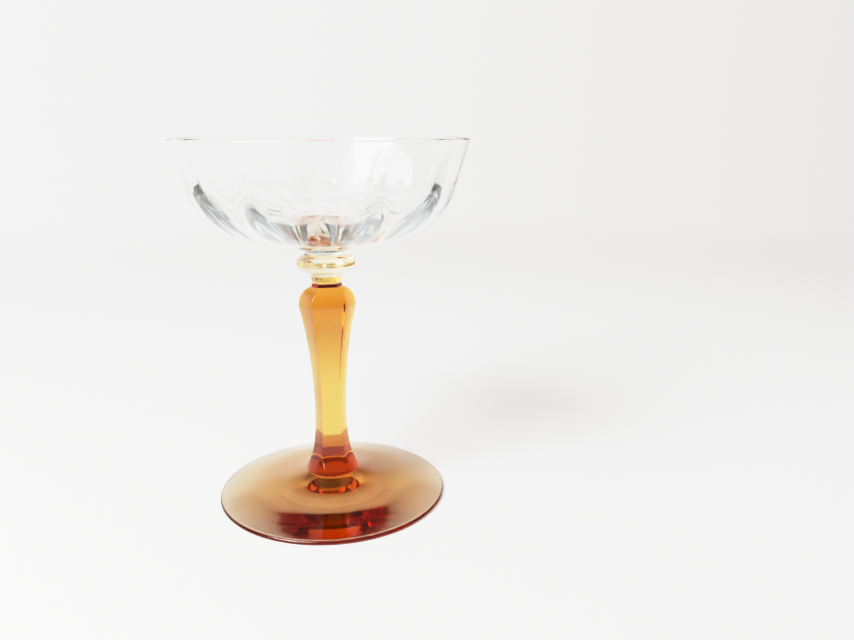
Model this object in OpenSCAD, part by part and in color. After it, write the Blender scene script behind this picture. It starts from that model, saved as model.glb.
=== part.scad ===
// A stemmed champagne saucer (coupe) in two glasses: a clear blown bowl on a
// clear disc, and an amber pressed stem on an amber foot. It stands on z = 0
// and its axis is the Z axis. Sizes are in millimetres.

/* [Bowl] */
// Height of the whole glass, from the table to the rim
glass_h = 125; // [118:1:135]
// Diameter of the rim, outside
rim_d = 96.6; // [88:0.2:104]
// Lean of the bowl's wall, away from upright
wall_lean = 16.6; // [8:0.2:24]
// Radius of the round turn between the wall and the bottom
bilge_r = 22; // [16:0.5:28]
// Radius of the shallow bottom, seen from the side
bottom_r = 90; // [70:5:160]
// Height of the bowl's bottom on the axis, outside
bowl_z = 88.7; // [87:0.1:90]
// Thickness of the wall at the rim
wall_t = 1.2; // [1:0.1:1.6]
// Thickness of the bottom on the axis
floor_t = 4.2; // [3.6:0.1:4.4]

/* [Clear disc under the bowl] */
// Diameter of the disc
disc_d = 19.8; // [17:0.1:24]
// Thickness of the disc
disc_t = 5.6; // [4.6:0.1:6]
// Height of the middle of the disc
disc_z = 83.8; // [83.5:0.1:84]
// Diameter of the waist between the disc and the bowl
waist_d = 14; // [12:0.2:16]
// Height of the joint between the disc and the bowl
bowl_joint_z = 87.2; // [87:0.1:87.4]

/* [Amber stem] */
// Height of the joint between the stem and the clear disc
stem_top_z = 79.4; // [79:0.1:79.8]
// Width of the neck over its corners
neck_d = 10.6; // [9:0.1:11.5]
// Height of the crease where the neck meets the shoulder
neck_z = 75.6; // [75:0.1:77]
// Width of the shoulder over its corners
shoulder_d = 20; // [17:0.1:22]
// Height of the widest part of the shoulder
shoulder_z = 69; // [66:0.5:71]
// Width of the slimmest part over its corners
slim_d = 11.3; // [9.5:0.1:13]
// Height of the slimmest part
slim_z = 30; // [27:0.5:36]
// Diameter of the round bell at the bottom of the stem
bell_d = 19; // [16:0.1:22]
// Height of the widest part of the bell
bell_z = 9.6; // [9.5:0.1:10.4]
// Width of the front and back flats, as an angle about the axis
broad_flat = 72; // [54:18:90]

/* [Amber foot] */
// Diameter of the foot
foot_d = 80.2; // [74:0.2:84]
// Thickness of the foot near its edge
edge_t = 1.5; // [1.2:0.1:1.8]
// Slope of the foot's top in its outer part
outer_slope = 13; // [11:0.5:14]
// Slope of the foot's top nearer the stem
inner_slope = 7.5; // [5:0.5:8]
// Height of the joint between the foot and the stem
foot_top_z = 8; // [7.6:0.1:8]
// Diameter of the joint between the foot and the stem
foot_joint_d = 17.2; // [14:0.1:18]
// Diameter of the shallow hollow underneath
hollow_d = 39; // [30:1:50]
// Depth of the hollow underneath
hollow_h = 0.6; // [0.3:0.1:0.8]

/* [Hidden] */

$fn = 120;
clear_glass = [0.90, 0.93, 0.93, 0.45];
amber_glass = [0.93, 0.56, 0.12, 0.80];

arc_steps = 10;         // straight pieces in one arc of an outline
top_steps = 24;         // straight pieces across the foot's top
stem_sides = 40;        // points round one section of the stem
corner_round = 0.985;   // the corners of the flats are fire-polished to this
stem_rings_above = 16;  // sections from the slim part up to the shoulder
stem_rings_below = 8;   // sections from the bell's crease up to the slim part

// A round outline between two angles, both counted from the -Z direction
function arc(cx, cz, r, a0, a1, n = arc_steps) =
    [for (i = [0:n]) let (a = a0 + (a1 - a0) * i / n)
        [cx + r * sin(a), cz - r * cos(a)]];

// The outline of a bowl from its axis to its rim: a shallow bottom arc on the
// axis, a tighter arc tangent to it, and a straight wall tangent to that.
// It starts at radius r0.
function bowl_line(z0, r_bottom, r_turn, lean, r_rim, z_rim, r0) =
    let (
        down = [-sin(lean), -cos(lean)],
        inward = [-cos(lean), sin(lean)],
        c_bottom = [0, z0 + r_bottom],
        start = [r_rim, z_rim] + r_turn * inward - c_bottom,
        along = start * down,
        rest = start * start - pow(r_bottom - r_turn, 2),
        run = -along + sqrt(along * along - rest),
        c_turn = c_bottom + start + run * down,
        v = c_turn - c_bottom,
        a_turn = atan2(v[0], -v[1]),
        a_start = asin(r0 / r_bottom)
    )
    concat(
        arc(0, z0 + r_bottom, r_bottom, a_start, a_turn),
        arc(c_turn[0], c_turn[1], r_turn, a_turn, 90 - lean),
        [[r_rim, z_rim]]
    );

// The clear blown bowl, open at the top, with a short waist under it
module bowl() {
    rim_z = glass_h - wall_t / 2;
    fillet_r = bowl_z - bowl_joint_z + 0.4;
    waist_r = waist_d / 2;
    outside = bowl_line(bowl_z, bottom_r, bilge_r, wall_lean,
                        rim_d / 2, rim_z, waist_r + fillet_r);
    inside = bowl_line(bowl_z + floor_t, bottom_r - floor_t, bilge_r - wall_t,
                       wall_lean, rim_d / 2 - wall_t, rim_z, 0);
    inside_down = [for (i = [len(inside) - 1:-1:1]) inside[i]];
    lip = arc(rim_d / 2 - wall_t / 2, rim_z, wall_t / 2, 110, 250, 6);
    waist = arc(waist_r + fillet_r, bowl_joint_z, fillet_r, -90, -180, 6);
    color(clear_glass)
    rotate_extrude()
    polygon(concat([[0, bowl_joint_z]], waist, outside, lip, inside_down,
                   [[0, bowl_z + floor_t]]));
}

// The clear disc between bowl and stem, with a soft round edge, and under it
// a short clear fillet down to the stem's neck
module merese() {
    edge_r = disc_t / 2 - 0.2;
    edge_c = disc_d / 2 - edge_r;
    neck_r = neck_d / 2;
    fillet_r = disc_z - disc_t / 2 - stem_top_z;
    below = arc(neck_r + fillet_r, stem_top_z, fillet_r, -90, -165, 6);
    lower = arc(edge_c, disc_z - 0.2, edge_r, 10, 90);
    upper = arc(edge_c, disc_z + 0.2, edge_r, 90, 172);
    color(clear_glass)
    rotate_extrude()
    polygon(concat([[0, stem_top_z]], below, lower, upper,
                   [[waist_d / 2, bowl_joint_z], [0, bowl_joint_z]]));
}

// Width of the stem over its corners, halved, as [height, radius] pairs from
// the foot up. It flares into a round bell at the bottom, tapers to a slim
// part, swells to the shoulder, and closes in a round turn to the neck.
function taper(z) = slim_d / 2 + (shoulder_d - slim_d) / 2
    * pow(max(0, (z - slim_z) / (shoulder_z - slim_z)), 2.1);
crease_z = bell_z + 5.4;
crease_r = slim_d / 2 + 1.35;
shoulder_turn = shoulder_d / 2 - neck_d / 2 + 0.7;
lip_r = 1.5;
skirt_z = bell_z - lip_r * cos(65);
skirt_r = bell_d / 2 - lip_r + lip_r * sin(65);
function stem_outline() = concat(
    [for (a = [30:7:65]) [bell_z - lip_r * cos(a), bell_d / 2 - lip_r + lip_r * sin(a)]],
    [for (i = [1:6]) let (t = i / 6, s = 0.75 * t + 0.25 * t * t * (3 - 2 * t))
        [skirt_z + (crease_z - skirt_z) * t, skirt_r + (crease_r - skirt_r) * s]],
    [for (i = [1:stem_rings_below]) let (t = 1 - i / stem_rings_below)
        [slim_z + (crease_z - slim_z) * t,
         slim_d / 2 + (crease_r - slim_d / 2) * pow(t, 2.4)]],
    [for (i = [1:stem_rings_above]) let (z = slim_z + (shoulder_z - slim_z)
        * i / stem_rings_above) [z, taper(z)]],
    [for (a = [12:12:72]) [shoulder_z + (neck_z - shoulder_z) * sin(a),
        shoulder_d / 2 - shoulder_turn + shoulder_turn * cos(a)]],
    [[neck_z, neck_d / 2], [(neck_z + stem_top_z) / 2, neck_d / 2 - 0.15],
     [stem_top_z, neck_d / 2]]
);

// How round a section is: 0 leaves six full flats, and 1 is a full circle
function roundness(z) = min(1, max(0, (crease_z - z) / (crease_z - bell_z)));

// Distance from the axis to the stem's skin, at an angle about the axis. Broad
// flats look to the front and the back, along 0 and 180 degrees, and two
// narrower flats on each side meet in a corner at 90 degrees.
side_middle = 45 + broad_flat / 4;
function flat_reach(r, z, angle, middle, half) =
    let (c = cos(half), away = abs(((angle - middle + 540) % 360) - 180))
    away > 80 ? 1e6 : r * (c + (1 - c) * roundness(z)) / cos(away);
function reach(r, z, angle) = min(concat(
    [r * (corner_round + (1 - corner_round) * roundness(z))],
    [for (m = [0, 180]) flat_reach(r, z, angle, m, broad_flat / 2)],
    [for (m = [side_middle, 180 - side_middle, 180 + side_middle, 360 - side_middle])
        flat_reach(r, z, angle, m, 90 - side_middle)]
));

// The amber stem: six flats from the neck down, fading into the round bell.
// The last two points are the middles of its two end faces.
module stem() {
    rings = concat([[foot_top_z, foot_joint_d / 2]], stem_outline());
    n = stem_sides;
    top = n * (len(rings) - 1);
    skin = [for (ring = rings, i = [0:n - 1])
        let (a = 360 * i / n, r = reach(ring[1], ring[0], a))
        [r * cos(a - 90), r * sin(a - 90), ring[0]]];
    sides = [for (k = [0:len(rings) - 2], i = [0:n - 1], half = [0, 1])
        let (j = (i + 1) % n, a = k * n + i, b = k * n + j)
        half == 0 ? [a, a + n, b + n] : [a, b + n, b]];
    bottom_end = [for (i = [0:n - 1]) [top + n, i, (i + 1) % n]];
    top_end = [for (i = [0:n - 1]) [top + n + 1, top + (i + 1) % n, top + i]];
    color(amber_glass)
    polyhedron(concat(skin, [[0, 0, foot_top_z], [0, 0, stem_top_z]]),
               concat(sides, bottom_end, top_end), convexity = 4);
}

// How far the foot's top has climbed between its edge and this radius: the inner
// slope all the way, and as much of the outer slope as lies outside the bend,
// which runs from radius 24 to radius 30
function bend_area(x) = let (t = min(1, max(0, (x - 24) / 6)))
    6 * (pow(t, 3) - pow(t, 4) / 2) + max(0, x - 30);
function climb(r, from_r) = tan(inner_slope) * (from_r - r)
    + (tan(outer_slope) - tan(inner_slope)) * (bend_area(from_r) - bend_area(r));

// The amber foot: a flat ring to stand on, a shallow hollow underneath, a soft
// edge, and a top that climbs in two slopes and flares up to the stem's bell
module foot() {
    foot_r = foot_d / 2;
    hollow_r = hollow_d / 2;
    cap_r = (hollow_r * hollow_r + hollow_h * hollow_h) / (2 * hollow_h);
    hollow = [for (i = [0:arc_steps]) let (x = hollow_r * i / arc_steps)
        [x, hollow_h - cap_r + sqrt(cap_r * cap_r - x * x)]];
    edge_r = edge_t / 2;
    edge = arc(foot_r - edge_r, edge_r, edge_r, 0, 160);
    top_r = foot_r - edge_r - 0.3;
    joint_r = foot_joint_d / 2;
    flare_r = 19;
    flare_h = foot_top_z - edge_t - climb(joint_r, top_r);
    top = [for (i = [0:top_steps]) let (r = top_r + (joint_r - top_r) * i / top_steps)
        [r, edge_t + climb(r, top_r)
            + flare_h * pow(max(0, (flare_r - r) / (flare_r - joint_r)), 1.5)]];
    color(amber_glass)
    rotate_extrude()
    polygon(concat(hollow, edge, top, [[0, foot_top_z]]));
}

bowl();
merese();
stem();
foot();
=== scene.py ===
# %% [markdown]
# # A stemmed champagne saucer in clear and amber glass
#
# The real glass is made hot, in four gathers that are stuck together while they are soft: a thin bowl
# blown in a mould, a small clear disc under it, an amber stem pressed in a mould with flats on it, and
# an amber foot. Nothing moves. This lesson shows how each gather becomes one surface worked out with
# numpy, how coloured glass gets its colour from its depth and not from paint, and how a glass is lit so
# that its edges draw themselves.

import math

import bpy
import numpy as np
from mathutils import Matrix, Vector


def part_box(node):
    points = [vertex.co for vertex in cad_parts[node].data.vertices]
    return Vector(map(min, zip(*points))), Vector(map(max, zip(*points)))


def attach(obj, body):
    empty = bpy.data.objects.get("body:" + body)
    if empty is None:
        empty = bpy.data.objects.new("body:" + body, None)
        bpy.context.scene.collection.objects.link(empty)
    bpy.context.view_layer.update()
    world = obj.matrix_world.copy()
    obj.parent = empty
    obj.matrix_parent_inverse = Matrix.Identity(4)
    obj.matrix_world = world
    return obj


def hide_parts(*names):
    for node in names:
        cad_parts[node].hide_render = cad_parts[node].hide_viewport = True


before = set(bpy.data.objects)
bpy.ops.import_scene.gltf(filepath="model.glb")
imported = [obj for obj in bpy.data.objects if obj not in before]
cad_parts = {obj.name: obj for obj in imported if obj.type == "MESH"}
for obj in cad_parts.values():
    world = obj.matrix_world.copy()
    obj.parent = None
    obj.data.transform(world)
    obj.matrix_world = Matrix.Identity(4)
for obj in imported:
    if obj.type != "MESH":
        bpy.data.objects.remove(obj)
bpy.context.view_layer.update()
MM = 0.001

print("nodes:", sorted(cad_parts))

# %% [markdown]
# ## Sizes that come from the frame
#
# A piece has to sit where the model of the real part says, so the sizes that matter are read from the
# boxes of its four nodes: the rim, the disc, the stem and the foot. Only shapes that a box can't tell,
# such as how the bowl turns, are given here in millimetres.

# %% Read the boxes
def reach_and_heights(node):
    """Half the width of a node's box, its lowest height and its highest height, in millimetres."""
    low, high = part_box(node)
    return (high[0] - low[0]) / 2 / MM, low[2] / MM, high[2] / MM


rim_r, bowl_joint_z, rim_top = reach_and_heights("bowl")
disc_r, stem_top_z, _ = reach_and_heights("merese")
_, foot_top_z, _ = reach_and_heights("stem")
foot_r, _, _ = reach_and_heights("foot")
print("rim", round(rim_r * 2, 2), "disc", round(disc_r * 2, 2), "foot", round(foot_r * 2, 2), "mm across")
print("heights", round(foot_top_z, 2), round(stem_top_z, 2), round(bowl_joint_z, 2), round(rim_top, 2), "mm")

# %% [markdown]
# ## Small tools for outlines
#
# Every gather of this glass is turned about its own axis, so its shape is an outline from the axis out
# and back, carried round. An outline is a list of points, radius and height, and these helpers draw the
# two curves that hot glass likes: an arc of a circle, and a soft step from one width to another.

# %% Outline helpers
def arc(centre_r, centre_z, radius, start, stop, count):
    """Points on a circle: the centre plus the radius times (sine, minus cosine) of each angle.

    Angles are in degrees from straight down, so 0 is the lowest point and 90 the outermost."""
    angle = np.radians(np.linspace(start, stop, count))
    return np.stack([centre_r + radius * np.sin(angle), centre_z - radius * np.cos(angle)], axis=1)


def soft_step(value, low, high):
    """A step from 0 at low to 1 at high: three times the share squared, less twice its cube."""
    share = np.clip((value - low) / (high - low), 0, 1)
    return share**2 * (3 - 2 * share)


def spaced(outline, step):
    """The same outline with every straight piece longer than the step cut into equal parts."""
    outline = np.asarray(outline, dtype=float)
    lengths = np.linalg.norm(np.diff(outline, axis=0), axis=1)
    parts = np.maximum(np.ceil(lengths / step), 1)
    index = np.concatenate([i + np.arange(n) / n for i, n in enumerate(parts)] + [[len(lengths)]])
    corner = np.arange(len(outline))
    return np.stack([np.interp(index, corner, column) for column in outline.T], axis=1)


# %% [markdown]
# ## Where two gathers are stuck together
#
# There are three joints, at the waist of the bowl, the neck of the stem and the top of the foot. Two
# faces in one plane would fight over every ray, so the upper piece stands a fiftieth of a millimetre
# clear. The joint must not be seen either, because hot glass leaves no skin between two gathers. So each
# outline carries a number beside every point, its skin: 1 where the glass meets the air and 0 on a joint
# face. The glass materials read it later.

# %% Joint faces
JOINT_GAP = 0.02
JOINT_INSET = 0.03
JOINT_INNER_R = 2.0


def joint_face(radius, height):
    """A flat face at this height, as two rings: one near the axis and one just inside the radius."""
    return np.array([[JOINT_INNER_R, height], [radius - JOINT_INSET, height]])


def with_joints(body, below=None, above=None):
    """The whole outline and its skin: 1 along the body, 0 on the joint faces below and above it.

    below and above are each the radius and the height of a joint face, or None where there is none."""
    bottom = joint_face(*below) if below else np.empty((0, 2))
    top = joint_face(*above)[::-1] if above else np.empty((0, 2))
    skin = np.concatenate([np.zeros(len(bottom)), np.ones(len(body)), np.zeros(len(top))])
    return np.concatenate([bottom, body, top]), skin


# %% [markdown]
# ## From rings to a closed piece
#
# A ring is a row of points round the axis, and a piece is a stack of rings with one point on the axis
# at each end. The faces between two rings are quads, and the two ends are closed with triangles. All the
# corners are worked out at once, as arrays, and go into the mesh in one call. Each point carries the
# skin of its ring.

# %% Put a stack of rings into a mesh
def turned(outline, around):
    """Rings of a turned shape: radius times (cosine, sine) of the angle, and the height as it is."""
    angle = np.linspace(0, 2 * np.pi, around, endpoint=False)
    radius, height = outline[:, 0, None], outline[:, 1, None]
    return np.stack([radius * np.cos(angle), radius * np.sin(angle), height + 0 * angle], axis=-1)


def closed_piece(name, rings, start_z, end_z, skin):
    """A closed mesh from rings of shape (count, around, 3) and the heights of its two axis points, in mm.

    The quad at ring i and column j joins (i, j), (i, j+1), (i+1, j+1) and (i+1, j), so faces point
    outwards when the rings run from the axis at the bottom, out and up. skin has one number per ring."""
    count, around, _ = rings.shape
    points = np.concatenate([rings.reshape(-1, 3), [[0, 0, start_z], [0, 0, end_z]]]) * MM
    index = np.arange(count * around).reshape(count, around)
    beside = np.roll(index, -1, axis=1)
    quads = np.stack([index[:-1], beside[:-1], beside[1:], index[1:]], axis=-1).reshape(-1, 4)
    first, last = count * around, count * around + 1
    start_fan = np.stack([np.full(around, first), beside[0], index[0]], axis=-1)
    end_fan = np.stack([np.full(around, last), index[-1], beside[-1]], axis=-1)
    corners = np.concatenate([quads.ravel(), start_fan.ravel(), end_fan.ravel()])
    sizes = np.concatenate([np.full(len(quads), 4), np.full(2 * around, 3)])
    mesh = bpy.data.meshes.new(name)
    mesh.vertices.add(len(points))
    mesh.loops.add(len(corners))
    mesh.polygons.add(len(sizes))
    mesh.vertices.foreach_set("co", points.ravel())
    mesh.loops.foreach_set("vertex_index", corners)
    mesh.polygons.foreach_set("loop_start", np.concatenate([[0], np.cumsum(sizes)[:-1]]))
    mesh.update(calc_edges=True)
    mesh.polygons.foreach_set("use_smooth", np.ones(len(sizes), dtype=bool))
    per_point = np.concatenate([np.repeat(skin, around), [skin[0], skin[-1]]])
    mesh.attributes.new("skin", "FLOAT", "POINT").data.foreach_set("value", per_point)
    mesh.validate()
    piece = bpy.data.objects.new(name, mesh)
    bpy.context.scene.collection.objects.link(piece)
    triangles = 2 * len(quads) + 2 * around
    print(name, "has", triangles, "triangles and is", np.ptp(points[:, 2]).round(4), "m high")
    return piece


# %% [markdown]
# ## The blown bowl
#
# The bowl is clear soda glass, thin at the rim and thick at the bottom. Seen from the side it has a
# shallow bottom, a round turn and a straight wall that leans out, all tangent to each other, so it is
# drawn with two arcs and a line. Its inside is a second line of the same kind, smaller by the wall.

# %% Bowl outline
WALL_LEAN = math.radians(16.6)
TURN_R = 22.0
BOTTOM_R = 90.0
BOWL_BOTTOM_Z = 88.7
RIM_T = 1.2
BOTTOM_T = 4.2
WAIST_R = 7.0
WAIST_RISE = 0.4
INSIDE_START_R = 0.3


def bowl_line(bottom_z, bottom_r, turn_r, top_r, top_z, start_r):
    """Bottom arc, turn arc and wall, each tangent to the next.

    The wall leaves the rim at its lean. The turn's centre is on a line at the turn's radius inside the
    wall, at the one place where its distance from the bottom arc's centre is the difference of the radii."""
    down = np.array([-math.sin(WALL_LEAN), -math.cos(WALL_LEAN)])
    inward = np.array([-math.cos(WALL_LEAN), math.sin(WALL_LEAN)])
    bottom_centre = np.array([0.0, bottom_z + bottom_r])
    start = np.array([top_r, top_z]) + turn_r * inward - bottom_centre
    along = start @ down
    run = -along + math.sqrt(along**2 - start @ start + (bottom_r - turn_r) ** 2)
    turn_centre = bottom_centre + start + run * down
    towards = turn_centre - bottom_centre
    meet = math.degrees(math.atan2(towards[0], -towards[1]))
    first = math.degrees(math.asin(start_r / bottom_r))
    bottom = arc(*bottom_centre, bottom_r, first, meet, count=60)
    turn = arc(*turn_centre, turn_r, meet, 90 - math.degrees(WALL_LEAN), count=60)
    return np.concatenate([bottom, turn[1:], [[top_r, top_z]]])


rim_z = rim_top - RIM_T / 2
waist_z = bowl_joint_z + JOINT_GAP
fillet_r = BOWL_BOTTOM_Z - bowl_joint_z + WAIST_RISE
inner_bottom_z = BOWL_BOTTOM_Z + BOTTOM_T

waist = arc(WAIST_R + fillet_r, waist_z, fillet_r, start=-90, stop=-176, count=14)
outside = bowl_line(BOWL_BOTTOM_Z, BOTTOM_R, TURN_R, rim_r, rim_z, WAIST_R + fillet_r)
lip = arc(rim_r - RIM_T / 2, rim_z, RIM_T / 2, start=96, stop=264, count=14)
inside = bowl_line(
    inner_bottom_z, BOTTOM_R - BOTTOM_T, TURN_R - RIM_T, rim_r - RIM_T, rim_z, INSIDE_START_R
)
outer_part = spaced(np.concatenate([waist, outside[1:]]), step=1.0)
inner_part = spaced(inside[::-1], step=1.0)
bowl_body = np.concatenate([outer_part, lip, inner_part])
bowl_outline, bowl_skin = with_joints(bowl_body, below=(WAIST_R, waist_z))
bowl_rings = turned(bowl_outline, around=288)
print("bowl is", round(rim_top - inner_bottom_z, 1), "mm deep inside")

# %% [markdown]
# ## Panels inside the bowl
#
# The gather is first blown into a mould with ribs, which leaves broad soft panels, and then into a
# smooth mould, which presses them through to the inside. So the outside stays a plain turned shape, and
# the inside wall moves in and out as it goes round. It moves along its own normal, fading to nothing at
# the rim and in the middle of the bottom. Where the wall is thick, light is caught in it and comes out
# as grey crescents, and that is how such a bowl shows its panels.

# %% Press the panels through to the inside
PANELS = 12
PANEL_DEPTH = 0.42
PANEL_TURN = math.radians(22.5)
TROUGH_TIGHTNESS = 0.25
RIM_FADE = 10.0
FADE_FROM_R = 5.0
FADE_TO_R = 19.0
AXIS_FADE_POWER = 1.5


def panel_wave(angle):
    """The panels' wave round the bowl: a cosine that is broad at its crests and tight at its troughs."""
    turn = PANELS * (angle + PANEL_TURN)
    return np.cos(turn) - TROUGH_TIGHTNESS * np.cos(2 * turn)


inner_rings = bowl_rings[-len(inner_part) :]
inner_r, inner_z = inner_part.T
fade_at_rim = soft_step(rim_z - inner_z, 0, RIM_FADE)
fade_at_axis = np.clip((inner_r - FADE_FROM_R) / (FADE_TO_R - FADE_FROM_R), 0, 1) ** AXIS_FADE_POWER
normal = np.stack([-np.gradient(inner_z), np.gradient(inner_r)], axis=1)
normal = normal / np.hypot(*normal.T)[:, None]
around_angle = np.linspace(0, 2 * np.pi, bowl_rings.shape[1], endpoint=False)
depth = PANEL_DEPTH * (fade_at_rim * fade_at_axis)[:, None] * panel_wave(around_angle)
push_r = depth * normal[:, 0, None]
inner_rings[:, :, 0] += push_r * np.cos(around_angle)
inner_rings[:, :, 1] += push_r * np.sin(around_angle)
inner_rings[:, :, 2] += depth * normal[:, 1, None]
print("panels move the inside wall", round(depth.min(), 2), "to", round(depth.max(), 2), "mm")

bowl = closed_piece("blown_bowl", bowl_rings, waist_z, inner_bottom_z, bowl_skin)
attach(bowl, "root")
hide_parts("bowl")

# %% [markdown]
# ## The clear disc
#
# Between the bowl and the stem is a merese, a small flattened drop of clear glass with a soft round
# edge. It is turned from one outline: the fillet up from the neck, the round edge, and the top.

# %% Merese
DISC_Z = 83.8
DISC_T = 5.6
EDGE_HALF_FLAT = 0.2
NECK_R = 5.3

neck_z = stem_top_z + JOINT_GAP
edge_r = DISC_T / 2 - EDGE_HALF_FLAT
edge_centre_r = disc_r - edge_r
neck_fillet = DISC_Z - DISC_T / 2 - stem_top_z
under = arc(NECK_R + neck_fillet, neck_z, neck_fillet, start=-90, stop=-165, count=12)
lower = arc(edge_centre_r, DISC_Z - EDGE_HALF_FLAT, edge_r, start=10, stop=90, count=16)
upper = arc(edge_centre_r, DISC_Z + EDGE_HALF_FLAT, edge_r, start=90, stop=172, count=16)
disc_body = spaced(np.concatenate([under, lower, upper, [[WAIST_R, bowl_joint_z]]]), step=0.35)
disc_outline, disc_skin = with_joints(disc_body, below=(NECK_R, neck_z), above=(WAIST_R, bowl_joint_z))
merese = closed_piece("clear_merese", turned(disc_outline, around=192), neck_z, bowl_joint_z, disc_skin)
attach(merese, "root")
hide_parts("merese")

# %% [markdown]
# ## The pressed stem
#
# The stem is amber glass pressed in a mould. Its section has six flats: a broad one to the front, a
# broad one to the back, and two narrower ones on each side. They run from the neck over the shoulder
# and down the taper, and fade into a round bell at the bottom. The front and back flats face each
# other, so the middle of the stem is as clear as a window, and only its corners draw thin dark lines.
# The outline over the corners comes first, from the bell up: the bell's edge, the bell, the flare under
# the slim part, the swell up to the shoulder, the turn over it, and the neck.

# %% Stem outline
SHOULDER_Z = 69.0
SHOULDER_R = 10.0
SHOULDER_TURN_DEG = 80
SHOULDER_IN = SHOULDER_R - NECK_R + 0.7
SWELL_POWER = 2.1
NECK_Z = 75.6
NECK_WAIST = 0.15
SLIM_R = 5.65
SLIM_Z = 30.0
FLARE_POWER = 2.4
BELL_R = 9.5
BELL_Z = 9.6
BELL_EDGE_R = 1.5
BELL_CURVE = 0.25
CREASE_Z = BELL_Z + 5.4
CREASE_R = SLIM_R + 1.35
FOOT_JOINT_R = 8.6

foot_joint_z = foot_top_z + JOINT_GAP
bell_edge = arc(BELL_R - BELL_EDGE_R, BELL_Z, BELL_EDGE_R, start=30, stop=65, count=16)
bell_r, bell_z = bell_edge[-1]
up = np.linspace(0, 1, 24)[1:]
bell_in = (1 - BELL_CURVE) * up + BELL_CURVE * soft_step(up, 0, 1)
bell = np.stack([bell_r + (CREASE_R - bell_r) * bell_in, bell_z + (CREASE_Z - bell_z) * up], axis=1)

down = np.linspace(1, 0, 40)[1:]
flare_r = SLIM_R + (CREASE_R - SLIM_R) * down**FLARE_POWER
flare = np.stack([flare_r, SLIM_Z + (CREASE_Z - SLIM_Z) * down], axis=1)

swell_z = np.linspace(SLIM_Z, SHOULDER_Z, 90)[1:]
swell_share = (swell_z - SLIM_Z) / (SHOULDER_Z - SLIM_Z)
swell = np.stack([SLIM_R + (SHOULDER_R - SLIM_R) * swell_share**SWELL_POWER, swell_z], axis=1)

over_angle = np.radians(np.linspace(0, SHOULDER_TURN_DEG, 40)[1:])
over_r = SHOULDER_R - SHOULDER_IN + SHOULDER_IN * np.cos(over_angle)
over = np.stack([over_r, SHOULDER_Z + (NECK_Z - SHOULDER_Z) * np.sin(over_angle)], axis=1)

neck_share = np.linspace(0, 1, 16)
neck_r = NECK_R - NECK_WAIST * np.sin(np.pi * neck_share)
neck = np.stack([neck_r, NECK_Z + (stem_top_z - NECK_Z) * neck_share], axis=1)

stem_body = np.concatenate([[[FOOT_JOINT_R, foot_joint_z]], bell_edge, bell, flare, swell, over, neck])
stem_outline, stem_skin = with_joints(
    stem_body, below=(FOOT_JOINT_R, foot_joint_z), above=(NECK_R, stem_top_z)
)
print("stem outline has", len(stem_outline), "points and is", SLIM_R * 2, "mm thick at its slimmest")

# %% [markdown]
# ## Flats round the stem
#
# The section is worked out at every height and angle at once: the nearest of the six flats wins, and a
# soft minimum rounds the corners between them, as fire-polishing does. One more number, roundness, goes
# from 0 on the taper to 1 at the bell and at the very top, and turns the section into a circle there.

# %% Press the flats
BROAD_HALF = math.radians(36)
SIDE_HALF = math.radians(27)
CORNER_SOFTNESS = 0.012
ROUND_TOP_H = 1.6
LEAST_FACING = 0.2
OUT_OF_REACH = 9.0


def flats(angle, roundness):
    """How far a section reaches at each angle, as a share of its width over the corners.

    A flat at angle m and half width h reaches cos(h) / cos(angle - m), where it faces the angle at all.
    The section is the soft minimum of the six flats and the circle: minus the softness times the
    logarithm of the sum of exponentials."""
    front = -math.pi / 2
    side = BROAD_HALF + SIDE_HALF
    middles = front + np.array([0, math.pi, side, -side, math.pi - side, math.pi + side])
    halves = np.array([BROAD_HALF] * 2 + [SIDE_HALF] * 4)
    facing = np.cos(angle[None, None, :] - middles[:, None, None])
    keep = np.cos(halves)[:, None, None]
    keep = keep + (1 - keep) * roundness[None, :, None]
    reach = np.where(facing > LEAST_FACING, keep / np.maximum(facing, LEAST_FACING), OUT_OF_REACH)
    circle = np.ones((1,) + reach.shape[1:])
    everything = np.concatenate([reach, circle])
    soft = -CORNER_SOFTNESS * np.log(np.exp(-everything / CORNER_SOFTNESS).sum(axis=0))
    return soft + (1 - soft) * roundness[:, None]


stem_rings = turned(stem_outline, around=270)
stem_angle = np.linspace(0, 2 * np.pi, stem_rings.shape[1], endpoint=False)
stem_z = stem_outline[:, 1]
round_bell = np.clip((CREASE_Z - stem_z) / (CREASE_Z - BELL_Z), 0, 1)
round_top = np.clip((stem_z - (stem_top_z - ROUND_TOP_H)) / ROUND_TOP_H, 0, 1)
stem_rings[:, :, :2] *= flats(stem_angle, np.maximum(round_bell, round_top))[:, :, None]
stem = closed_piece("pressed_stem", stem_rings, foot_joint_z, stem_top_z, stem_skin)
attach(stem, "root")
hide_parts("stem")

# %% [markdown]
# ## The foot
#
# The foot is an amber disc. It stands on a flat ring, its underside has a shallow hollow so that it
# can't rock, and its edge is rounded in the fire. Its top climbs in two slopes, steeper near the edge,
# and flares up to the bell. The slopes matter more than the height: from in front, light in the steep
# parts can't leave through the underside, so those parts look dark and the gentle part looks pale.

# %% Foot
EDGE_T = 1.5
EDGE_OVERLAP = 0.3
HOLLOW_START_R = 0.5
HOLLOW_R = 19.5
HOLLOW_H = 0.6
OUTER_SLOPE = math.tan(math.radians(13.0))
INNER_SLOPE = math.tan(math.radians(7.5))
BEND_FROM_R = 24.0
BEND_TO_R = 30.0
FOOT_FLARE_R = 19.0
FOOT_FLARE_POWER = 1.5

hollow_cap_r = (HOLLOW_R**2 + HOLLOW_H**2) / (2 * HOLLOW_H)
hollow_r = np.linspace(HOLLOW_START_R, HOLLOW_R, 50)
hollow = np.stack([hollow_r, HOLLOW_H - hollow_cap_r + np.sqrt(hollow_cap_r**2 - hollow_r**2)], axis=1)
foot_edge = arc(foot_r - EDGE_T / 2, EDGE_T / 2, EDGE_T / 2, start=0, stop=160, count=40)

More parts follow.
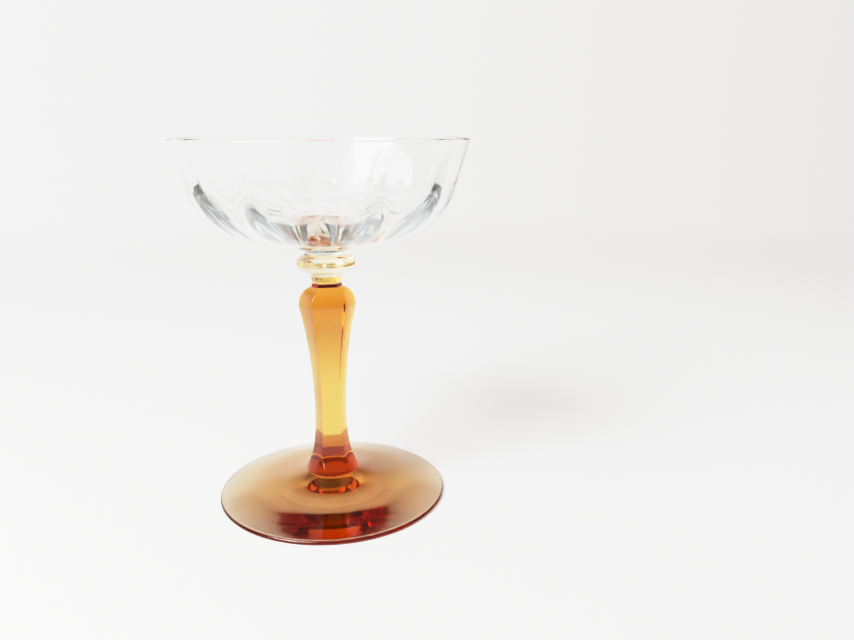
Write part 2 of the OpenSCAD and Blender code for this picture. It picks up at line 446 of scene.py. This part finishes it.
top_r = np.linspace(foot_r - EDGE_T / 2 - EDGE_OVERLAP, FOOT_JOINT_R, 120)
slope = INNER_SLOPE + (OUTER_SLOPE - INNER_SLOPE) * soft_step(top_r, BEND_FROM_R, BEND_TO_R)
climbed = np.concatenate([[0], np.cumsum((slope[1:] + slope[:-1]) / 2 * -np.diff(top_r))])
cone_z = EDGE_T + climbed
flare_up = np.clip((FOOT_FLARE_R - top_r) / (FOOT_FLARE_R - FOOT_JOINT_R), 0, 1) ** FOOT_FLARE_POWER
foot_rise = np.stack([top_r, cone_z + (foot_top_z - cone_z[-1]) * flare_up], axis=1)
print("the two slopes reach", round(cone_z[-1], 2), "mm under the stem, and the flare", round(foot_top_z, 2))

foot_body = spaced(np.concatenate([hollow, foot_edge, foot_rise]), step=0.8)
foot_outline, foot_skin = with_joints(foot_body, above=(FOOT_JOINT_R, foot_top_z))
foot = closed_piece("amber_foot", turned(foot_outline, around=288), HOLLOW_H, foot_top_z, foot_skin)
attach(foot, "root")
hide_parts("foot")

# %% [markdown]
# ## Colours and nodes
#
# Colours are written as the hex numbers that a painter's program shows, and one function turns them to
# the linear light that the renderer works in. One more function adds a node with its settings and with
# whatever goes into its sockets, be it another node's output or a plain value.

# %% Colour and node helpers
def linear(hex_colour):
    """An sRGB hex colour as linear red, green, blue and 1, by the sRGB curve."""
    shares = [int(hex_colour[i : i + 2], 16) / 255 for i in (1, 3, 5)]
    return [s / 12.92 if s <= 0.04045 else ((s + 0.055) / 1.055) ** 2.4 for s in shares] + [1.0]


def add(tree, kind, settings=None, sockets=None, **named):
    """A node of this kind. settings are its own properties, and sockets say what goes into it.

    A socket is given by its number or name, or as a named value with _ for each space. It takes another
    node's output, which is linked to it, or a plain value."""
    node = tree.nodes.new(kind)
    for key, value in (settings or {}).items():
        setattr(node, key, value)
    spelled_out = {key.replace("_", " "): value for key, value in named.items()}
    for key, value in {**(sockets or {}), **spelled_out}.items():
        if isinstance(value, bpy.types.NodeSocket):
            tree.links.new(value, node.inputs[key])
        else:
            node.inputs[key].default_value = value
    return node


SMOOTH = {"interpolation_type": "SMOOTHSTEP"}
TIMES = {"operation": "MULTIPLY"}
TIMES_AND_ADD = {"operation": "MULTIPLY_ADD"}

# %% [markdown]
# ## Waves and film on the skin of the glass
#
# Hand-made glass is never quite even. Slow waves a few millimetres long are left by the mould and the
# fire, and a faint film dulls the polish in places. Low on the bowl the glass met a cold mould and was
# chilled: its skin has finer waves there and a softer polish, which break up the crescents of light that
# are caught in the thick bottom. The chill fades in from one height down to a lower one, so all that
# lies under the bowl has it in full, if its glass has it at all. Each of the two functions below gives
# one output, and both are nothing on a joint face, where skin is 0.

# %% Waves and film
CHILL_TOP_MM = 120.0
CHILL_FULL_MM = 109.0
CHILL_WAVE_MM = 3.0
FILM_PATCH_MM = 14.0
FILM_STARTS = 0.5
FILM_IS_FULL = 0.75


def skin_height(tree, place, skin, chilled, wave_mm, fine_share):
    """The skin's height: the slow waves, plus the fine ones times their share where it is chilled."""
    slow = add(tree, "ShaderNodeTexNoise", Vector=place, Scale=1000 / wave_mm, Detail=1.0, Roughness=0.4)
    fine = add(
        tree, "ShaderNodeTexNoise", Vector=place, Scale=1000 / CHILL_WAVE_MM, Detail=1.0, Roughness=0.5
    )
    fine_there = add(tree, "ShaderNodeMath", TIMES, {0: fine.outputs["Fac"], 1: chilled})
    both_feeds = {0: fine_there.outputs["Value"], 1: fine_share, 2: slow.outputs["Fac"]}
    both = add(tree, "ShaderNodeMath", TIMES_AND_ADD, both_feeds)
    return add(tree, "ShaderNodeMath", TIMES, {0: both.outputs["Value"], 1: skin}).outputs["Value"]


def skin_roughness(tree, place, skin, chilled, film, chill_rough):
    """The skin's roughness: up to film in the film's patches, plus chill_rough where it is chilled."""
    patches = add(
        tree, "ShaderNodeTexNoise", Vector=place, Scale=1000 / FILM_PATCH_MM, Detail=4.0, Roughness=0.6
    )
    film_range = {"From_Min": FILM_STARTS, "From_Max": FILM_IS_FULL, "To_Min": 0.0, "To_Max": film}
    dull = add(tree, "ShaderNodeMapRange", Value=patches.outputs["Fac"], **film_range)
    both_feeds = {0: chilled, 1: chill_rough, 2: dull.outputs["Result"]}
    both = add(tree, "ShaderNodeMath", TIMES_AND_ADD, both_feeds)
    return add(tree, "ShaderNodeMath", TIMES, {0: both.outputs["Value"], 1: skin}).outputs["Value"]


# %% [markdown]
# ## Glass
#
# Glass has no colour on its skin. Light bends as it goes in, loses some colour for every millimetre it
# travels, and bends again as it leaves, so a thin foot looks pale and a thick shoulder looks deep. The
# Principled shader bends it, with the refractive index of soda glass, and a Volume Absorption takes the
# colour. Where two gathers are stuck together there is no air between them, so there the index fades to
# 1 and nothing bends.

# %% One glass
INDEX_OF_AIR = 1.0
INDEX_OF_SODA_GLASS = 1.5


def glass(name, passed, per_metre, wave_mm, wave_height_mm, film, chill=0.0, chill_rough=0.0):
    """Glass with colour by depth, slow waves in its skin, a faint film and a chilled skin low down.

    Each colour is taken up at per_metre times one minus its share in passed. chill is the height of the
    chilled skin's fine waves in millimetres, and chill_rough the roughness that it adds."""
    material = bpy.data.materials.new(name)
    material.use_nodes = True
    tree = material.node_tree
    tree.nodes.clear()
    place = add(tree, "ShaderNodeTexCoord").outputs["Object"]
    skin = add(tree, "ShaderNodeAttribute", {"attribute_name": "skin"}).outputs["Fac"]
    height = add(tree, "ShaderNodeSeparateXYZ", Vector=place).outputs["Z"]
    chill_range = {"From_Min": CHILL_TOP_MM * MM, "From_Max": CHILL_FULL_MM * MM}
    chilled = add(tree, "ShaderNodeMapRange", SMOOTH, Value=height, **chill_range).outputs["Result"]
    index_range = {"To_Min": INDEX_OF_AIR, "To_Max": INDEX_OF_SODA_GLASS}
    index = add(tree, "ShaderNodeMapRange", Value=skin, **index_range)
    waves = skin_height(tree, place, skin, chilled, wave_mm, chill / wave_height_mm)
    bump = add(tree, "ShaderNodeBump", Height=waves, Strength=1.0, Distance=wave_height_mm * MM)
    surface = add(
        tree,
        "ShaderNodeBsdfPrincipled",
        Base_Color=linear("#FFFFFF"),
        Transmission_Weight=1.0,
        IOR=index.outputs["Result"],
        Roughness=skin_roughness(tree, place, skin, chilled, film, chill_rough),
        Normal=bump.outputs["Normal"],
    )
    depth_colour = add(tree, "ShaderNodeVolumeAbsorption", Color=(*passed, 1.0), Density=per_metre)
    add(
        tree,
        "ShaderNodeOutputMaterial",
        Surface=surface.outputs["BSDF"],
        Volume=depth_colour.outputs["Volume"],
    )
    print(name, "takes", [round(per_metre * (1 - p), 1) for p in passed], "per metre of red, green, blue")
    return material


# %% [markdown]
# ## The four glasses
#
# The bowl's soda glass has a trace of grey in it, and the disc's leans to yellow. The stem's amber is
# deep and takes nearly all of the blue. The foot's amber is a little paler. It is spun out thin while it
# is soft, so its waves are longer, its film is uneven and its whole skin is slightly chilled.

# %% Give each piece its glass
blown_clear = glass(
    "blown_soda_crystal",
    passed=(0.74, 0.82, 0.83),
    per_metre=12.0,
    wave_mm=9.0,
    wave_height_mm=0.018,
    film=0.08,
    chill=0.03,
    chill_rough=0.07,
)
drawn_clear = glass(
    "clear_drawn_crystal",
    passed=(0.97, 0.80, 0.45),
    per_metre=45.0,
    wave_mm=5.0,
    wave_height_mm=0.004,
    film=0.01,
)
pressed_amber = glass(
    "pressed_amber_glass",
    passed=(0.91, 0.64, 0.04),
    per_metre=230.0,
    wave_mm=4.0,
    wave_height_mm=0.006,
    film=0.02,
)
spun_amber = glass(
    "spun_amber_glass",
    passed=(0.89, 0.62, 0.19),
    per_metre=150.0,
    wave_mm=11.0,
    wave_height_mm=0.010,
    film=0.10,
    chill=0.004,
    chill_rough=0.02,
)
for piece, finish in ((bowl, blown_clear), (merese, drawn_clear), (stem, pressed_amber), (foot, spun_amber)):
    piece.data.materials.append(finish)

# %% [markdown]
# ## The table
#
# The glass stands on matt white paper. The paper fades out towards its edge and leaves only the room
# behind it, as a sheet in a studio sweeps up without a corner. It lies a twentieth of a millimetre under
# the foot, so that glass and paper never share a plane.

# %% Table
TABLE_R = 1.0
TABLE_DROP = 0.00005
FADE_FROM = 0.25
FADE_TO = 0.95


def floor_disc(radius, around):
    """A flat disc of triangles round its middle: radius times (cosine, sine) of each angle."""
    angle = np.linspace(0, 2 * np.pi, around, endpoint=False)
    ring = np.stack([radius * np.cos(angle), radius * np.sin(angle), 0 * angle], axis=1)
    points = np.concatenate([[[0, 0, 0]], ring])
    index = np.arange(1, around + 1)
    faces = np.stack([np.zeros(around, dtype=int), index, np.roll(index, -1)], axis=1)
    mesh = bpy.data.meshes.new("table")
    mesh.from_pydata(points.tolist(), [], faces.tolist())
    disc = bpy.data.objects.new("table", mesh)
    bpy.context.scene.collection.objects.link(disc)
    return disc


table = floor_disc(TABLE_R, around=96)
table.location.z = -TABLE_DROP

paper = bpy.data.materials.new("matt_white_paper")
paper.use_nodes = True
sheet = paper.node_tree
place = add(sheet, "ShaderNodeTexCoord").outputs["Object"]
from_middle = add(sheet, "ShaderNodeVectorMath", {"operation": "LENGTH"}, {0: place}).outputs["Value"]
fade_range = {"From_Min": FADE_FROM, "From_Max": FADE_TO, "To_Min": 1.0, "To_Max": 0.0}
fade = add(sheet, "ShaderNodeMapRange", SMOOTH, Value=from_middle, **fade_range)
paper_surface = sheet.nodes["Principled BSDF"]
paper_surface.inputs["Base Color"].default_value = linear("#EFEEED")
paper_surface.inputs["Roughness"].default_value = 0.9
sheet.links.new(fade.outputs["Result"], paper_surface.inputs["Alpha"])
table.data.materials.append(paper)
print("table is", TABLE_R * 2, "m across and fades from", FADE_FROM, "m out")

# %% [markdown]
# ## The room
#
# Glass shows what stands round it. A pale room behind it makes it look empty, and a dimmer room at the
# sides and in front draws its outline. So the light depends only on where a ray goes. It starts with how
# far the ray goes towards the back of the room, which lies a little to the left.

# %% Which way a ray goes
BACK_TURN = math.radians(-12.0)

world = bpy.data.worlds.new("pale_room")
bpy.context.scene.world = world
world.use_nodes = True
room = world.node_tree
room.nodes.clear()
way = add(room, "ShaderNodeTexCoord").outputs["Generated"]
along = add(room, "ShaderNodeSeparateXYZ", Vector=way).outputs
level_way = add(room, "ShaderNodeCombineXYZ", X=along["X"], Y=along["Y"]).outputs["Vector"]
unit_way = add(room, "ShaderNodeVectorMath", {"operation": "NORMALIZE"}, {0: level_way})
back = (math.sin(BACK_TURN), math.cos(BACK_TURN), 0)
back_feeds = {0: unit_way.outputs["Vector"], 1: back}
to_back = add(room, "ShaderNodeVectorMath", {"operation": "DOT_PRODUCT"}, back_feeds).outputs["Value"]

# %% [markdown]
# The walls are bright behind and fall off past the sides. Above a line that is lower in front than
# behind, they turn dim. Overhead there is a soft ceiling, and all of it falls slowly from left to right.

# %% Room light
BEHIND_LEVEL = 1.52
FRONT_LEVEL = 0.66
HIGH_LEVEL = 0.35
CEILING_LEVEL = 1.1
SIDE_FROM, SIDE_TO = math.radians(100), math.radians(60)
LINE_LEAN = -0.17
LINE_FROM, LINE_TO = 0.17, 0.33
CEILING_FROM, CEILING_TO = math.radians(52), math.radians(66)
LEFT_X, RIGHT_X = -0.4, 0.65
LEFT_SHARE, RIGHT_SHARE = 1.10, 0.70

round_range = {
    "From_Min": math.cos(SIDE_FROM),
    "From_Max": math.cos(SIDE_TO),
    "To_Min": FRONT_LEVEL,
    "To_Max": BEHIND_LEVEL,
}
by_side = add(room, "ShaderNodeMapRange", SMOOTH, Value=to_back, **round_range).outputs["Result"]

leaning_height = add(room, "ShaderNodeMath", TIMES_AND_ADD, {0: to_back, 1: LINE_LEAN, 2: along["Z"]})
line_range = {"From_Min": LINE_FROM, "From_Max": LINE_TO}
high = add(room, "ShaderNodeMapRange", SMOOTH, Value=leaning_height.outputs["Value"], **line_range)
walls = add(room, "ShaderNodeMix", Factor=high.outputs["Result"], A=by_side, B=HIGH_LEVEL)

ceiling_range = {"From_Min": math.sin(CEILING_FROM), "From_Max": math.sin(CEILING_TO)}
overhead = add(room, "ShaderNodeMapRange", SMOOTH, Value=along["Z"], **ceiling_range)
walls_and_ceiling = {"A": walls.outputs["Result"], "B": CEILING_LEVEL}
level = add(room, "ShaderNodeMix", Factor=overhead.outputs["Result"], **walls_and_ceiling)

right_range = {"From_Min": LEFT_X, "From_Max": RIGHT_X, "To_Min": LEFT_SHARE, "To_Max": RIGHT_SHARE}
to_right = add(room, "ShaderNodeMapRange", Value=along["X"], **right_range)
strength_feeds = {0: level.outputs["Result"], 1: to_right.outputs["Result"]}
strength = add(room, "ShaderNodeMath", TIMES, strength_feeds).outputs["Value"]
light = add(room, "ShaderNodeBackground", Color=linear("#F6F3F1"), Strength=strength)
add(room, "ShaderNodeOutputWorld", Surface=light.outputs["Background"])
print("room light is", BEHIND_LEVEL, "behind,", FRONT_LEVEL, "in front and", HIGH_LEVEL, "high up")

# %% [markdown]
# ## The window
#
# A soft square window stands high to the front left and faces the glass. It leaves the white reflection
# in the bowl and a faint shadow behind the glass on the right.

# %% Window
WINDOW_SIDE = 0.8
WINDOW_POWER = 36.0
WINDOW_AZIMUTH = -53.5
WINDOW_ELEVATION = 40
WINDOW_DISTANCE = 1.2
GLASS_MIDDLE_Z = 0.08


def place_round(azimuth, elevation, distance, height):
    """A point at this azimuth from the front (right is positive), elevation and distance."""
    a, e = math.radians(azimuth), math.radians(elevation)
    return (
        distance * math.sin(a) * math.cos(e),
        -distance * math.cos(a) * math.cos(e),
        height + distance * math.sin(e),
    )


window_light = bpy.data.lights.new("window", "AREA")
window_light.shape = "RECTANGLE"
window_light.size = WINDOW_SIDE
window_light.size_y = WINDOW_SIDE
window_light.energy = WINDOW_POWER
window = bpy.data.objects.new("window", window_light)
bpy.context.scene.collection.objects.link(window)
window.location = place_round(WINDOW_AZIMUTH, WINDOW_ELEVATION, WINDOW_DISTANCE, GLASS_MIDDLE_Z)
window.rotation_euler = (math.radians(90 - WINDOW_ELEVATION), 0, math.radians(WINDOW_AZIMUTH))
print("window at", [round(c, 3) for c in window.location])

# %% [markdown]
# ## The camera
#
# The camera stands close, just above the rim's height, and looks down a little, so the rim is nearly a
# line and the foot is an open ellipse. The glass stands left of the middle. Angles are in degrees.

# %% Camera
CAMERA_AZIMUTH = -3.5
CAMERA_DISTANCE = 0.2572
CAMERA_HEIGHT = 0.1286
CAMERA_LENS = 32.04
LOOK_DOWN = 14.32
GLASS_LEFT_OF_AXIS = 7.66

camera_data = bpy.data.cameras.new("camera")
camera_data.lens = CAMERA_LENS
camera_data.clip_start = 0.01
camera_data.clip_end = 20
camera = bpy.data.objects.new("camera", camera_data)
bpy.context.scene.collection.objects.link(camera)
camera.location = place_round(CAMERA_AZIMUTH, 0, CAMERA_DISTANCE, CAMERA_HEIGHT)
heading = math.radians(CAMERA_AZIMUTH - GLASS_LEFT_OF_AXIS)
camera.rotation_euler = (math.radians(90 - LOOK_DOWN), 0, heading)
bpy.context.scene.camera = camera
print("camera is", round(CAMERA_HEIGHT / MM - rim_top, 1), "mm above the rim")

# %% [markdown]
# ## Tone and light paths
#
# The room is lit above white and a curve brings it back softly, the way film does, so that thin amber
# stays nearly as bright as the paper behind it. Each pair below is a level of light in the scene and the
# level that is shown for it. Light that is caught in a wall of glass turns many times before it gets
# out, so it is followed for long.

# %% Colour management and light paths
WHITE_LEVEL = 3.0
SCENE_AND_SHOWN = (
    (0.05, 0.028),
    (0.2, 0.148),
    (0.5, 0.46),
    (0.8, 0.73),
    (1.1, 0.855),
    (1.5, 0.905),
    (2.2, 0.975),
)

scene = bpy.context.scene
scene.view_settings.view_transform = "Standard"
scene.view_settings.use_curve_mapping = True
tone = scene.view_settings.curve_mapping
tone.white_level = (WHITE_LEVEL,) * 3
red_green_and_blue = tone.curves[3]
for scene_level, shown in SCENE_AND_SHOWN:
    red_green_and_blue.points.new(scene_level / WHITE_LEVEL, shown)
tone.update()

scene.cycles.max_bounces = 64
scene.cycles.transmission_bounces = 64
scene.cycles.glossy_bounces = 12
scene.cycles.diffuse_bounces = 4
scene.cycles.transparent_max_bounces = 16
